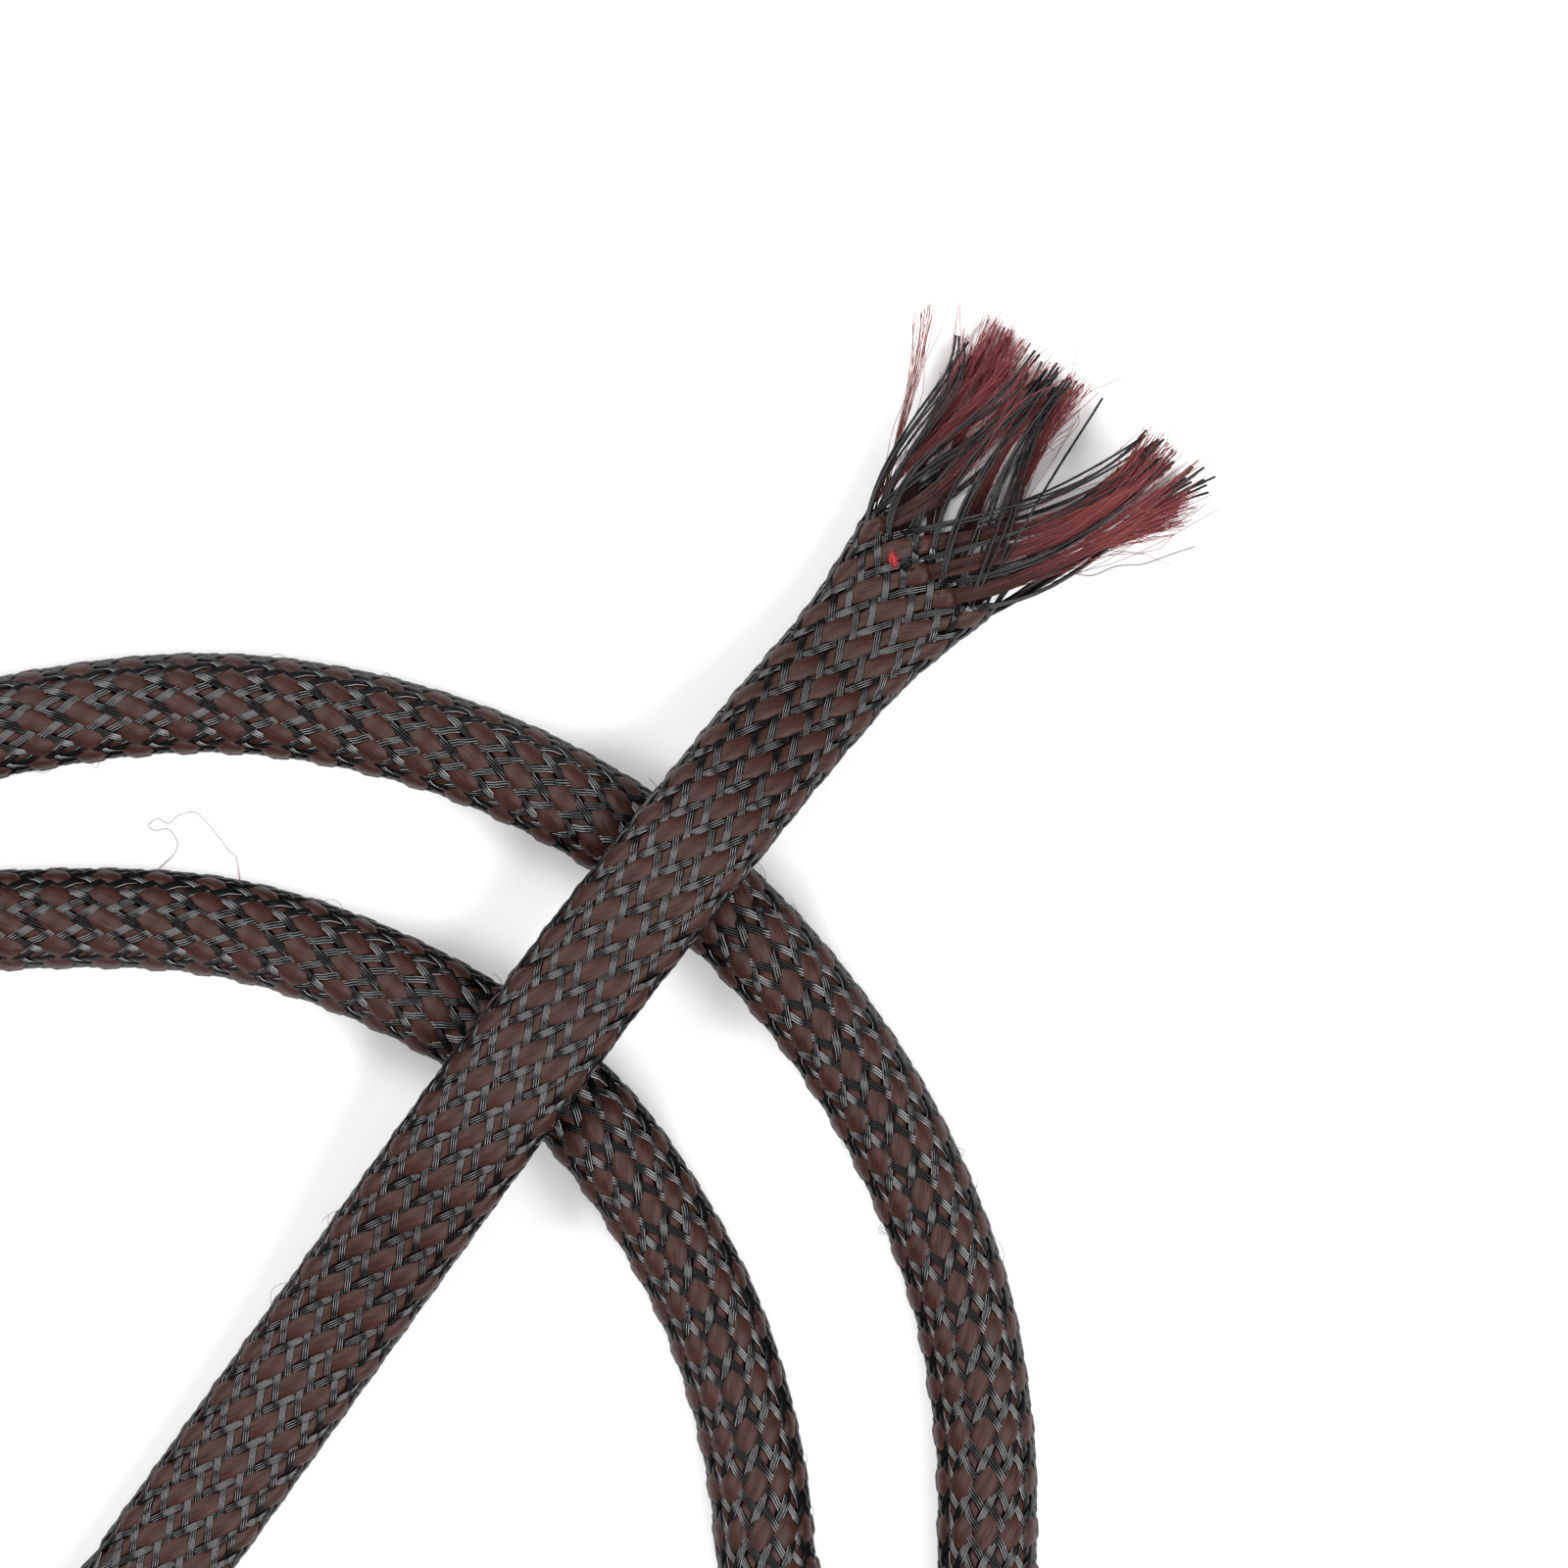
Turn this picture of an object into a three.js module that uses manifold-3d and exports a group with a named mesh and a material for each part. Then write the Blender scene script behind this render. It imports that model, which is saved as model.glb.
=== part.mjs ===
// A length of braided cable sleeve, lying loose: two turns and a teardrop on the floor, with its
// frayed end laid across them. The sleeve is one hollow stock, flattened where it runs straight and
// nearly round where it turns. Millimetres, +Z up, the frayed end towards +X.

import * as THREE from "three";
import { mergeVertices } from "three/addons/utils/BufferGeometryUtils.js";
import Module from "manifold-3d";

// The wall is two layers of crossing strands.
const wall = 0.7;

// Outside sizes of the section in the turns, in the flattened straight run and at the frayed mouth.
const turnWidth = 10.2;
const turnHeight = 9.8;
const runWidth = 12.8;
const runHeight = 6.2;
const mouthWidth = 17.8;
const mouthHeight = 9;

// Distances along the route from the mouth: the flare, and the stretch where the run becomes round.
const flareLength = 18;
const runLength = 135;
const roundingLength = 60;

// The frayed strands reach this far past the mouth, and the floor gap keeps crossing turns apart.
const frayLength = 22.3;
const layGap = 0.4;

// How the sleeve is divided: corners of its section, and the step between sections.
const corners = 12;
const turnStep = 12;
const flareStep = 5;

// The middle of the floor that the whole length covers, taken off each point below.
const layCentre = new THREE.Vector2(14.8, -12.1);

// The route on the floor from the mouth to the plain end: x, y, and how much of a full rise over
// the turns the underside has there.
const route = [
  [123.9, -4.8, 0],
  [113.4, -3.8, 0.12],
  [99.4, -2.6, 0.52],
  [90.4, -2.1, 0.86],
  [80.7, -1.6, 1.02],
  [69.5, -1.1, 1],
  [57.4, -0.9, 1.02],
  [47.4, -0.8, 0.86],
  [35.4, -0.8, 0.5],
  [23.4, -0.8, 0.18],
  [10.4, -0.8, 0.03],
  [-4.6, -0.8, 0],
  [-24.9, -0.6, 0],
  [-45, -1.5, 0],
  [-61.5, -8.5, 0],
  [-73, -22, 0],
  [-76.5, -40.5, 0],
  [-71.5, -58, 0],
  [-59, -73.5, 0],
  [-42, -82.5, 0],
  [-21, -84.5, 0],
  [-1, -78.5, 0],
  [17, -66, 0],
  [30.3, -50.6, 0],
  [36.3, -45.2, 0],
  [43, -37.7, 0],
  [49.6, -27.5, 0],
  [56.5, -8.8, 0],
  [56.7, 9.3, 0],
  [51.2, 30, 0],
  [40.8, 46.6, 0],
  [26.6, 62.3, 0],
  [8.4, 73.9, 0],
  [-11.7, 77.5, 0],
  [-33, 73.8, 0],
  [-54, 62.6, 0],
  [-71, 48.5, 0],
  [-86, 30, 0],
  [-95.5, 7, 0],
  [-98, -17, 0],
  [-93.5, -41, 0],
  [-83, -63.5, 0],
  [-67, -82.5, 0],
  [-46.5, -95, 0],
  [-23.5, -99.5, 0],
  [0.2, -95.5, 0],
  [22.5, -84.2, 0],
  [43.4, -68.7, 0],
  [53.4, -61.2, 0],
  [65, -49.1, 0],
  [75.8, -29.9, 0],
  [81.8, -5.7, 0],
  [79.8, 19.9, 0],
  [69.8, 43.6, 0],
  [53.6, 62.1, 0],
  [33.1, 78.1, 0],
  [9, 87.5, 0],
  [-17.5, 89, 0],
  [-43, 82.5, 0],
  [-66.5, 69.5, 0],
  [-86.5, 51, 0],
  [-101.5, 29.5, 0],
  [-110.5, 5, 0],
  [-112, -20.5, 0],
  [-106.5, -46, 0],
  [-94.5, -69.5, 0],
  [-77.5, -89, 0],
  [-56, -103.5, 0],
  [-33, -111.5, 0],
  [-9, -113.5, 0],
  [16, -113.5, 0],
  [44, -113.5, 0],
];

// The main tufts that the frayed strands gather into, in shares of the mouth's half width and of
// its height, seen from in front, with + to the left. Each one's width and thickness are shares of
// the mouth's width and height, and its reach is a share of the fray.
const tufts = [
  { name: "left top", root: [0.62, 0.8], tip: [1, 0.72], width: 0.36, thick: 0.26, reach: 0.97 },
  { name: "left foot", root: [0.62, 0.18], tip: [0.68, 0.3], width: 0.36, thick: 0.24, reach: 0.9 },
  { name: "middle top", root: [-0.02, 0.93], tip: [0.2, 0.97], width: 0.3, thick: 0.17, reach: 1 },
  { name: "middle foot", root: [-0.08, 0.1], tip: [-0.1, 0.11], width: 0.3, thick: 0.17, reach: 0.95 },
  { name: "right top", root: [-0.7, 0.78], tip: [-1.45, 0.72], width: 0.28, thick: 0.26, reach: 0.93 },
  { name: "right foot", root: [-0.72, 0.2], tip: [-1.8, 0.3], width: 0.28, thick: 0.26, reach: 0.93 },
];
const tuftCorners = 8;
const tuftSteps = 5;
const tuftRootDepth = 3;
const tuftTipShare = 0.55;

// The width and height of the section at a distance from the mouth.
function sectionAt(distance) {
  const flared = 1 - THREE.MathUtils.smoothstep(distance, -flareLength, flareLength);
  const rounded = THREE.MathUtils.smoothstep(distance, runLength, runLength + roundingLength);
  const width = THREE.MathUtils.lerp(runWidth, turnWidth, rounded);
  const height = THREE.MathUtils.lerp(runHeight, turnHeight, rounded);
  return {
    width: width + 2 * flared * (mouthWidth - runWidth),
    height: height + 2 * flared * (mouthHeight - runHeight),
  };
}

// Even points round an oval section of two half circles joined by flats. They start and end half a
// step from the middle of its underside, so that its lowest side is level.
function ovalPoints(width, height, count) {
  const radius = height / 2;
  const flat = Math.max(width - height, 0) / 2;
  const halfRound = 2 * flat + Math.PI * radius;
  return Array.from({ length: count }, (_, order) => {
    const walked = (2 * halfRound * (order + 0.5)) / count;
    const hand = walked > halfRound ? -1 : 1;
    const risen = hand > 0 ? walked : 2 * halfRound - walked;
    const turned = THREE.MathUtils.clamp((risen - flat) / radius, 0, Math.PI);
    const back = Math.max(risen - flat - Math.PI * radius, 0);
    const out = Math.min(risen, flat) + radius * Math.sin(turned) - back;
    return new THREE.Vector2(hand * out, -radius * Math.cos(turned));
  });
}

// A closed surface through rings of points: wrapped, the last ring joins the first, as round a
// hollow wall; otherwise the two end rings are closed by flat ends.
function skin(rings, wrapped) {
  const count = rings[0].length;
  const index = [];
  const joins = wrapped ? rings.length : rings.length - 1;
  for (let ring = 0; ring < joins; ring++) {
    const here = ring * count;
    const there = ((ring + 1) % rings.length) * count;
    for (let side = 0; side < count; side++) {
      const next = (side + 1) % count;
      index.push(here + side, here + next, there + next);
      index.push(here + side, there + next, there + side);
    }
  }
  const last = (rings.length - 1) * count;
  for (let side = 1; side < count - 1 && !wrapped; side++) {
    index.push(0, side + 1, side);
    index.push(last, last + side, last + side + 1);
  }
  const places = rings.flat().flatMap((point) => point.toArray());
  const geometry = new THREE.BufferGeometry();
  geometry.setAttribute("position", new THREE.Float32BufferAttribute(places, 3));
  geometry.setIndex(index);
  return geometry;
}

// The centreline, with each point raised so that the underside has its share of the full rise.
const fullRise = turnHeight + layGap;
const floorRoute = new THREE.CatmullRomCurve3(
  route.map(([x, y, rise]) => new THREE.Vector3(x - layCentre.x, y - layCentre.y, rise * fullRise)),
  false,
  "centripetal",
);
floorRoute.arcLengthDivisions = 4000;
const routeLength = floorRoute.getLength();

// Where the sections are cut: close together in the flare, and even along the rest.
function stationDistances() {
  const inFlare = Math.round(flareLength / flareStep);
  const inRest = Math.round((routeLength - flareLength) / turnStep);
  const distances = [];
  for (let cut = 0; cut < inFlare; cut++) distances.push((flareLength * cut) / inFlare);
  for (let cut = 0; cut <= inRest; cut++)
    distances.push(flareLength + ((routeLength - flareLength) * cut) / inRest);
  return distances;
}

// The sleeve's own directions at a distance from the mouth, and the middle of its section.
function stationAt(distance) {
  const share = Math.min(distance / routeLength, 1);
  const ahead = floorRoute.getTangentAt(share);
  const left = new THREE.Vector3(0, 0, 1).cross(ahead).normalize();
  const up = ahead.clone().cross(left);
  const { width, height } = sectionAt(distance);
  const lowest = Math.min(...ovalPoints(width, height, corners).map((point) => point.y));
  const middle = floorRoute.getPointAt(share).addScaledVector(up, -lowest);
  return { middle, left, up, width, height };
}

function ringAt({ middle, left, up, width, height }, inset) {
  return ovalPoints(width - 2 * inset, height - 2 * inset, corners).map((point) =>
    middle.clone().addScaledVector(left, point.x).addScaledVector(up, point.y),
  );
}

function sleeveGeometry() {
  const stations = stationDistances().map(stationAt);
  const outside = stations.map((station) => ringAt(station, 0));
  const inside = stations.map((station) => ringAt(station, wall));
  return skin([...outside, ...inside.reverse()], true);
}

// One tuft: a blade that leaves the mouth's wall and thins towards the cut ends of its strands.
function tuftGeometry({ root, tip, width, thick, reach }) {
  const mouth = stationAt(0);
  const forward = floorRoute.getTangentAt(0).negate();
  const across = mouth.left.clone().negate();
  const placed = ([side, rise], ahead) =>
    new THREE.Vector3(
      mouth.middle.x + forward.x * ahead + (across.x * side * mouthWidth) / 2,
      mouth.middle.y + forward.y * ahead + (across.y * side * mouthWidth) / 2,
      rise * mouthHeight,
    );
  const path = new THREE.QuadraticBezierCurve3(
    placed(root, -tuftRootDepth),
    placed(root, (reach * frayLength) / 3),
    placed(tip, reach * frayLength),
  );
  const rings = [];
  for (let step = 0; step <= tuftSteps; step++) {
    const share = step / tuftSteps;
    const taper = THREE.MathUtils.lerp(1, tuftTipShare, share);
    const point = path.getPoint(share);
    const ahead = path.getTangent(share);
    const left = new THREE.Vector3(0, 0, 1).cross(ahead).normalize();
    const up = ahead.clone().cross(left);
    rings.push(
      ovalPoints(width * mouthWidth * taper, thick * mouthHeight * taper, tuftCorners).map((place) =>
        point.clone().addScaledVector(left, place.x).addScaledVector(up, place.y),
      ),
    );
  }
  return skin(rings, false);
}

const wasm = await Module();
wasm.setup();

function solidOf(geometry) {
  const merged = mergeVertices(geometry, 1e-4);
  return new wasm.Manifold(
    new wasm.Mesh({
      numProp: 3,
      vertProperties: merged.getAttribute("position").array,
      triVerts: new Uint32Array(merged.getIndex().array),
    }),
  );
}

function geometryOf(solid) {
  const mesh = solid.getMesh();
  const geometry = new THREE.BufferGeometry();
  geometry.setAttribute("position", new THREE.BufferAttribute(mesh.vertProperties, 3));
  geometry.setIndex(new THREE.BufferAttribute(mesh.triVerts, 1));
  return geometry;
}

const brownBraid = new THREE.MeshStandardMaterial({
  color: 0x4d2f2a,
  roughness: 0.5,
  metalness: 0,
});

let stock = solidOf(sleeveGeometry());
for (const tuft of tufts) stock = stock.add(solidOf(tuftGeometry(tuft)));

const sleeve = new THREE.Mesh(geometryOf(stock), brownBraid);
sleeve.name = "braided_sleeve";

const part = new THREE.Group();
part.add(sleeve);

export default part;
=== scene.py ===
import math

import bmesh
import bpy
import numpy as np
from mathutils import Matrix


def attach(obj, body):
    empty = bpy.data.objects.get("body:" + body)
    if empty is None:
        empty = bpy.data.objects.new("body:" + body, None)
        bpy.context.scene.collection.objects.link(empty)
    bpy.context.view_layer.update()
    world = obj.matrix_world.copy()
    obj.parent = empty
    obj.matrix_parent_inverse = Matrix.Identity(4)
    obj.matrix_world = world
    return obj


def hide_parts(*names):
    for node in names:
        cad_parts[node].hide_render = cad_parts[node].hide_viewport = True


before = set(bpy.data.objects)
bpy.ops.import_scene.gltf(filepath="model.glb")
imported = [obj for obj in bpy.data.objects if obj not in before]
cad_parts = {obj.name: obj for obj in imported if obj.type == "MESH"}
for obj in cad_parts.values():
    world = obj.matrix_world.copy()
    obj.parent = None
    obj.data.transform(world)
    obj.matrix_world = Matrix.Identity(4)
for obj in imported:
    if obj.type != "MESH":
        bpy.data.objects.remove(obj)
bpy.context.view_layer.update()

# Camera: straight above the straight run, turned so that the run rises to the upper right. It sees
# a square of 160 mm. Its sizes are in metres, and MM makes them of millimetres.
MM = 0.001
VIEW_WIDTH = 160 * MM
VIEW_CENTRE = (80.6 * MM, 6.3 * MM)
RUN_ANGLE = math.radians(54.21)
CAMERA_HEIGHT = 0.8
SENSOR_WIDTH = 36.0

bpy.ops.object.camera_add(
    location=(*VIEW_CENTRE, CAMERA_HEIGHT),
    rotation=(0, 0, -RUN_ANGLE),
)
camera = bpy.context.object
camera.data.sensor_width = SENSOR_WIDTH
camera.data.lens = SENSOR_WIDTH * CAMERA_HEIGHT / VIEW_WIDTH
camera.data.clip_start = 0.01
bpy.context.scene.camera = camera

# The route of the sleeve: the braid is one limp hollow length, so it lies in loose turns, and
# its frayed end passes over them in a long low hump. Each point is x and y on the floor, and how
# much of a full rise over the turns the underside has there. Sizes from here on are in
# millimetres, up to the floor and the light.
TURN_WIDTH, TURN_HEIGHT = 10.2, 9.8
RUN_WIDTH, RUN_HEIGHT = 12.8, 6.2
MOUTH_WIDTH, MOUTH_HEIGHT = 17.8, 9.0
FLARE_LENGTH, RUN_LENGTH, ROUNDING_LENGTH = 18.0, 135.0, 60.0
WALL, LAY_GAP = 0.7, 0.4
LAY_CENTRE = (14.8, -12.1)
ROUTE = [
    (123.9, -4.8, 0), (113.4, -3.8, 0.12), (99.4, -2.6, 0.52), (90.4, -2.1, 0.86),
    (80.7, -1.6, 1.02), (69.5, -1.1, 1), (57.4, -0.9, 1.02), (47.4, -0.8, 0.86),
    (35.4, -0.8, 0.5), (23.4, -0.8, 0.18), (10.4, -0.8, 0.03), (-4.6, -0.8, 0),
    (-24.9, -0.6, 0), (-45, -1.5, 0), (-61.5, -8.5, 0), (-73, -22, 0),
    (-76.5, -40.5, 0), (-71.5, -58, 0), (-59, -73.5, 0), (-42, -82.5, 0),
    (-21, -84.5, 0), (-1, -78.5, 0), (17, -66, 0), (30.3, -50.6, 0),
    (36.3, -45.2, 0), (43, -37.7, 0), (49.6, -27.5, 0), (56.5, -8.8, 0),
    (56.7, 9.3, 0), (51.2, 30, 0), (40.8, 46.6, 0), (26.6, 62.3, 0),
    (8.4, 73.9, 0), (-11.7, 77.5, 0), (-33, 73.8, 0), (-54, 62.6, 0),
    (-71, 48.5, 0), (-86, 30, 0), (-95.5, 7, 0), (-98, -17, 0),
    (-93.5, -41, 0), (-83, -63.5, 0), (-67, -82.5, 0), (-46.5, -95, 0),
    (-23.5, -99.5, 0), (0.2, -95.5, 0), (22.5, -84.2, 0), (43.4, -68.7, 0),
    (53.4, -61.2, 0), (65, -49.1, 0), (75.8, -29.9, 0), (81.8, -5.7, 0),
    (79.8, 19.9, 0), (69.8, 43.6, 0), (53.6, 62.1, 0), (33.1, 78.1, 0),
    (9, 87.5, 0), (-17.5, 89, 0), (-43, 82.5, 0), (-66.5, 69.5, 0),
    (-86.5, 51, 0), (-101.5, 29.5, 0), (-110.5, 5, 0), (-112, -20.5, 0),
    (-106.5, -46, 0), (-94.5, -69.5, 0), (-77.5, -89, 0), (-56, -103.5, 0),
    (-33, -111.5, 0), (-9, -113.5, 0), (16, -113.5, 0), (44, -113.5, 0),
]
STEPS_BETWEEN_POINTS = 60


def smoothstep(value, low, high):
    share = np.clip((value - low) / (high - low), 0, 1)
    return share * share * (3 - 2 * share)


def route_line():
    """The route's points joined by one smooth curve, in millimetres in the row frame."""
    points = np.array(ROUTE, float)
    points[:, :2] -= LAY_CENTRE
    points[:, 2] *= TURN_HEIGHT + LAY_GAP
    points = np.vstack([2 * points[0] - points[1], points, 2 * points[-1] - points[-2]])
    share = (np.arange(STEPS_BETWEEN_POINTS) / STEPS_BETWEEN_POINTS)[:, None]
    line = []
    for before, here, there, after in zip(points, points[1:], points[2:], points[3:]):
        gaps = [np.sqrt(np.linalg.norm(b - a)) for a, b in
                ((before, here), (here, there), (there, after))]
        leave = ((here - before) / gaps[0] - (there - before) / (gaps[0] + gaps[1])
                 + (there - here) / gaps[1]) * gaps[1]
        reach = ((there - here) / gaps[1] - (after - here) / (gaps[1] + gaps[2])
                 + (after - there) / gaps[2]) * gaps[1]
        line.append(here + leave * share
                    + (3 * (there - here) - 2 * leave - reach) * share**2
                    + (2 * (here - there) + leave + reach) * share**3)
    return np.vstack([*line, points[-2:-1]])


line = route_line()
line_distance = np.r_[0, np.cumsum(np.linalg.norm(np.diff(line, axis=0), axis=1))]
ROUTE_LENGTH = line_distance[-1]
STATION_STEP = 0.5
station = np.linspace(0, ROUTE_LENGTH, int(ROUTE_LENGTH / STATION_STEP) + 1)
floor_line = np.column_stack([np.interp(station, line_distance, line[:, k]) for k in range(3)])
ahead = np.gradient(floor_line, station, axis=0)
ahead /= np.linalg.norm(ahead, axis=1)[:, None]
leftward = np.cross((0, 0, 1), ahead)
leftward /= np.linalg.norm(leftward, axis=1)[:, None]
upward = np.cross(ahead, leftward)


def section_at(distance):
    """Outside width and height of the sleeve at a distance from the mouth."""
    flared = 1 - smoothstep(distance, -FLARE_LENGTH, FLARE_LENGTH)
    rounded = smoothstep(distance, RUN_LENGTH, RUN_LENGTH + ROUNDING_LENGTH)
    width = RUN_WIDTH + (TURN_WIDTH - RUN_WIDTH) * rounded
    height = RUN_HEIGHT + (TURN_HEIGHT - RUN_HEIGHT) * rounded
    return (width + 2 * flared * (MOUTH_WIDTH - RUN_WIDTH),
            height + 2 * flared * (MOUTH_HEIGHT - RUN_HEIGHT))


def way_round_at(distance):
    """How long the middle of the wall is, all the way round."""
    width, height = section_at(distance)
    return 2 * (width - height) + np.pi * (height - WALL)


def on_sleeve(distance, round_share, proud):
    """Points on the middle of the wall: how far from the mouth, the share of the way round from
    the top towards the right, and how far proud of the wall's middle."""
    width, height = section_at(distance)
    width, height = width - WALL, height - WALL
    half_flat, radius = (width - height) / 2, height / 2
    way_round = 4 * half_flat + 2 * np.pi * radius
    walked = (round_share % 1.0) * way_round
    side = half_flat + np.pi * radius
    turned = np.clip((walked - half_flat) / radius, 0, np.pi)
    turned += np.clip((walked - side - 2 * half_flat) / radius, 0, np.pi)
    over = walked < half_flat
    last = walked > 3 * half_flat + 2 * np.pi * radius
    right_arc = (walked >= half_flat) & (walked < side)
    under = (walked >= side) & (walked < side + 2 * half_flat)
    across = np.select(
        [over, right_arc, under, last],
        [-walked, -half_flat, -half_flat + walked - side, way_round - walked],
        half_flat,
    )
    across -= (radius + proud) * np.sin(turned)
    rise = (radius + proud) * np.cos(turned)
    place, left, up = (
        np.stack([np.interp(distance, station, way[:, k]) for k in range(3)], -1)
        for way in (floor_line, leftward, upward)
    )
    place = place + np.minimum(distance, 0)[..., None] * ahead[0]
    middle = place + up * ((height + WALL) / 2)[..., None]
    return middle + left * across[..., None] + up * rise[..., None]


# The braid: forty-four carriers, woven two over and two under. One way round all carriers hold
# three black filaments side by side, and the other way they hold three black filaments or one
# flat brown ribbon of loose yarn, in turn. The weave is even along the sleeve's top, and its
# repeats get shorter where the flare spreads the carriers and in the turns.
REPEAT, TURN_REPEAT = 5.264, 5.01
REPEATS_ROUND = 11
CARRIERS = 2 * REPEATS_ROUND
CARRIER_GAP = REPEAT / 2
# In the first lay every second carrier stands closer to the next one.
CLOSE_PAIR_SHIFT = 0.6
# Where carrier 0 of each lay crosses the top line and where it lies over the other lay, measured
# along the weave from the phase point, which is a place on the straight run.
FIRST_CROSSES, SECOND_CROSSES = 4.7, 2.9
FIRST_LIES_OVER, SECOND_LIES_OVER = 1.846, 3.25
PHASE_X = 6.31 - LAY_CENTRE[0]
# Where the run rounds into the turns, the weave slips back by this much.
TURN_CREEP = -0.3
CROSSING_RISE, CROSSING_SHARPNESS = 0.19, 1.4
# Rings for each repeat, and the bend's radius at which soft yarn leans as far as it can.
RUN_STEPS, TURN_STEPS = 8, 4
FULL_LEAN_RADIUS = 90

first_shift = [CLOSE_PAIR_SHIFT * (k % 2) for k in range(CARRIERS)]
FIRST_LAY = [FIRST_CROSSES + CARRIER_GAP * k + first_shift[k] for k in range(CARRIERS)]
SECOND_LAY = [SECOND_CROSSES + CARRIER_GAP * k for k in range(CARRIERS)]
FIRST_OVER = [FIRST_LIES_OVER + CARRIER_GAP * k + first_shift[k] / 2 for k in range(CARRIERS)]
SECOND_OVER = [SECOND_LIES_OVER + CARRIER_GAP * k for k in range(CARRIERS)]

top_line = on_sleeve(station, np.zeros(len(station)), np.zeros(len(station)))
top_step = np.linalg.norm(np.diff(top_line[:, :2], axis=0), axis=1)
ways_round = way_round_at(station)
carrier_length = np.hypot(REPEAT, ways_round[-1] / REPEATS_ROUND)
local_repeat = np.sqrt(carrier_length**2 - (ways_round / REPEATS_ROUND) ** 2)
in_turn = smoothstep(station, RUN_LENGTH, RUN_LENGTH + ROUNDING_LENGTH)
stretch = (1 + in_turn * (REPEAT / TURN_REPEAT - 1)) * REPEAT / local_repeat
woven_line = np.r_[0, np.cumsum(top_step * stretch[:-1])] + TURN_CREEP * in_turn
turning = np.cross(ahead[:-1], ahead[1:])[:, 2] / np.diff(station)
turning = np.r_[turning, turning[-1]]
# Over this much of the route from the mouth, x only falls.
FALLING_LENGTH = 200
falling = station < FALLING_LENGTH
phase_station = np.interp(-PHASE_X, -floor_line[falling, 0], station[falling])
woven_line -= np.interp(phase_station, station, woven_line)


def woven_to_distance(woven):
    """How far from the mouth the weave has got, for its own length from the phase point."""
    beyond = np.minimum(woven - woven_line[0], 0) / stretch[0]
    return np.interp(woven, woven_line, station) + beyond


def lay_line(kind, order, start, stop):
    """One carrier's middle line: distance from the mouth, share of the way round, and rise. Its
    points are closer together along the flattened run, where it turns sharply round the sides."""
    line_at, over_at, hand = (
        (FIRST_LAY[order], FIRST_OVER[order], 1) if kind == "first"
        else (SECOND_LAY[order], SECOND_OVER[order], -1)
    )
    low, middle, high = (-np.interp(at, station, woven_line) for at in (stop, RUN_LENGTH, start))
    run = [low]
    for begin, end, steps in ((low, middle, TURN_STEPS), (middle, high, RUN_STEPS)):
        first = math.ceil((begin - over_at) / REPEAT * steps + 0.5)
        last = math.floor((end - over_at) / REPEAT * steps - 0.5)
        run += [over_at + (step + 0.5) * REPEAT / steps for step in range(first, last)]
    run = np.array([*run, high])
    share = hand * (run - line_at) / (REPEAT * REPEATS_ROUND)
    wave = np.clip(CROSSING_SHARPNESS * np.cos(2 * np.pi * (run - over_at) / REPEAT), -1, 1)
    return woven_to_distance(-run), share, CROSSING_RISE * wave


def strip(kind, order, section, in_turns, swell=0.0, lean=0.0):
    """Rings of a strand that follows a carrier's line, and their distances along it. In the turns
    the section is wider or narrower by a share. It swells where it lies over the others, and on
    the inner side of a bend it stands out, as soft yarn does."""
    distance, share, rise = lay_line(kind, order, WOVEN_END[kind][order], ROUTE_LENGTH)
    way_round = way_round_at(distance)
    along = np.gradient(distance)
    around = np.gradient(share) * way_round
    size = np.hypot(along, around)
    rounded = smoothstep(distance, RUN_LENGTH, RUN_LENGTH + ROUNDING_LENGTH)
    bend = np.clip(FULL_LEAN_RADIUS * np.interp(distance, station, turning), -1, 1)
    inner = -bend * np.sin(2 * np.pi * share) * rounded
    wide = 1 + (in_turns - 1) * rounded + swell * (1 + rounded) * rise / CROSSING_RISE
    wide += lean * inner
    rings = np.empty((len(distance), len(section), 3))
    for k, (offset, proud) in enumerate(section):
        rings[:, k] = on_sleeve(
            distance - offset * wide * around / size,
            share + offset * wide * along / size / way_round,
            rise + proud * (1 + 2 * swell * rise / CROSSING_RISE) + 0.5 * lean * inner
            + swell * (0.3 + 0.7 * rounded) * np.maximum(rise / CROSSING_RISE, 0),
        )
    length = np.r_[0, np.cumsum(size[1:])]
    return rings, length


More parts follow.
